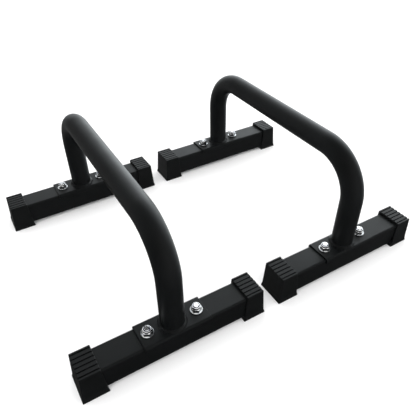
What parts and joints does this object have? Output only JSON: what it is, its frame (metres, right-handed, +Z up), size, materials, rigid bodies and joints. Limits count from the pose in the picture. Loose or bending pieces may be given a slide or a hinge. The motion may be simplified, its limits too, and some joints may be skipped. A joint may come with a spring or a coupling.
{
  "type": "parallel bars",
  "caption": "Pair of low free-standing parallel bars: bent tube handles on bolted square feet with ribbed rubber caps.",
  "frame": {"origin": "on the floor, midway between the two bars and midway between their legs", "axes": "+X along the foot beams from the left bar to the right bar, +Y along the grip rails towards the back, +Z up"},
  "size_m": [0.765, 0.556, 0.2752],
  "materials": {
    "black_powder_coat": "satin",
    "rubber_cap": "matte",
    "zinc_hardware": "bright zinc plate",
    "nylon_insert": "satin"
  },
  "bodies": {
    "left_bar": {"left_bar_handle": "black_powder_coat", "left_bar_front_beam": "black_powder_coat", "left_bar_front_saddle_plate": "black_powder_coat", "left_bar_front_weld_bead": "black_powder_coat", "left_bar_front_left_end_cap": "rubber_cap", "left_bar_front_left_bolt": "zinc_hardware", "left_bar_front_left_washer": "zinc_hardware", "left_bar_front_left_lock_nut": "zinc_hardware", "left_bar_front_left_nylon_ring": "nylon_insert", "left_bar_front_right_end_cap": "rubber_cap", "left_bar_front_right_bolt": "zinc_hardware", "left_bar_front_right_washer": "zinc_hardware", "left_bar_front_right_lock_nut": "zinc_hardware", "left_bar_front_right_nylon_ring": "nylon_insert", "left_bar_back_beam": "black_powder_coat", "left_bar_back_saddle_plate": "black_powder_coat", "left_bar_back_weld_bead": "black_powder_coat", "left_bar_back_left_end_cap": "rubber_cap", "left_bar_back_left_bolt": "zinc_hardware", "left_bar_back_left_washer": "zinc_hardware", "left_bar_back_left_lock_nut": "zinc_hardware", "left_bar_back_left_nylon_ring": "nylon_insert", "left_bar_back_right_end_cap": "rubber_cap", "left_bar_back_right_bolt": "zinc_hardware", "left_bar_back_right_washer": "zinc_hardware", "left_bar_back_right_lock_nut": "zinc_hardware", "left_bar_back_right_nylon_ring": "nylon_insert"},
    "right_bar": {"right_bar_handle": "black_powder_coat", "right_bar_front_beam": "black_powder_coat", "right_bar_front_saddle_plate": "black_powder_coat", "right_bar_front_weld_bead": "black_powder_coat", "right_bar_front_left_end_cap": "rubber_cap", "right_bar_front_left_bolt": "zinc_hardware", "right_bar_front_left_washer": "zinc_hardware", "right_bar_front_left_lock_nut": "zinc_hardware", "right_bar_front_left_nylon_ring": "nylon_insert", "right_bar_front_right_end_cap": "rubber_cap", "right_bar_front_right_bolt": "zinc_hardware", "right_bar_front_right_washer": "zinc_hardware", "right_bar_front_right_lock_nut": "zinc_hardware", "right_bar_front_right_nylon_ring": "nylon_insert", "right_bar_back_beam": "black_powder_coat", "right_bar_back_saddle_plate": "black_powder_coat", "right_bar_back_weld_bead": "black_powder_coat", "right_bar_back_left_end_cap": "rubber_cap", "right_bar_back_left_bolt": "zinc_hardware", "right_bar_back_left_washer": "zinc_hardware", "right_bar_back_left_lock_nut": "zinc_hardware", "right_bar_back_left_nylon_ring": "nylon_insert", "right_bar_back_right_end_cap": "rubber_cap", "right_bar_back_right_bolt": "zinc_hardware", "right_bar_back_right_washer": "zinc_hardware", "right_bar_back_right_lock_nut": "zinc_hardware", "right_bar_back_right_nylon_ring": "nylon_insert"}
  },
  "joints": [
    {"name": "bar_spacing", "type": "slide", "parent": "left_bar", "child": "right_bar", "axis": [1, 0, 0], "range_m": [-0.03, 0.25]}
  ]
}
